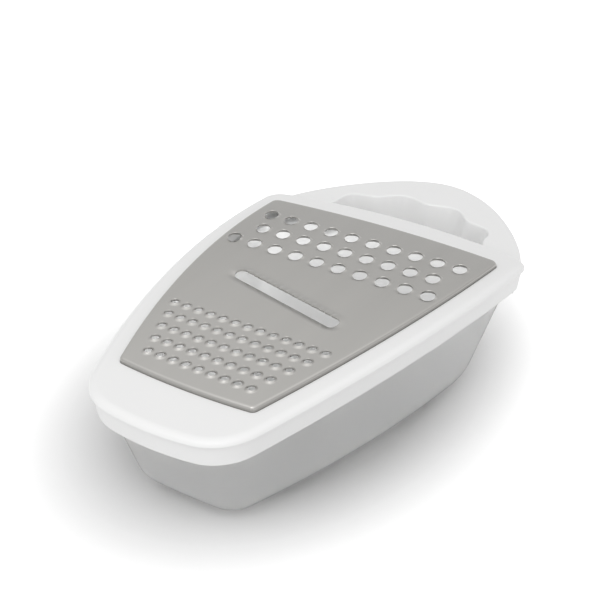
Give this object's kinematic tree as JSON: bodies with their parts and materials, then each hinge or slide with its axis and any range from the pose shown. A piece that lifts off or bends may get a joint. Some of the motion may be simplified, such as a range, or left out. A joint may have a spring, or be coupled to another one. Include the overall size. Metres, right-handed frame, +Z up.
{
  "type": "grater with catch tray",
  "caption": "Hand grater: a tapered steel plate with coarse and fine teeth and a skewed slicing slot, set in a white frame with a finger-grip handle that caps a frosted catch tray.",
  "frame": {"origin": "on the table under the middle of the overall length and width", "axes": "+X across the grater, +Y along it towards the handle, +Z up out of the grating plate"},
  "size_m": [0.1222, 0.221, 0.0562],
  "materials": {
    "grating_plate": "fine brushed stainless sheet with bright pressed edges",
    "top_frame": "white satin moulding",
    "catch_tray": "pale grey frosted translucent moulding"
  },
  "bodies": {
    "tray": {"catch_tray": "catch_tray"},
    "lid": {"top_frame": "top_frame", "grating_plate": "grating_plate"}
  },
  "joints": [
    {"name": "lid_lift", "type": "slide", "parent": "tray", "child": "lid", "axis": [0, 0, 1], "range_m": [0, 0.08]}
  ]
}
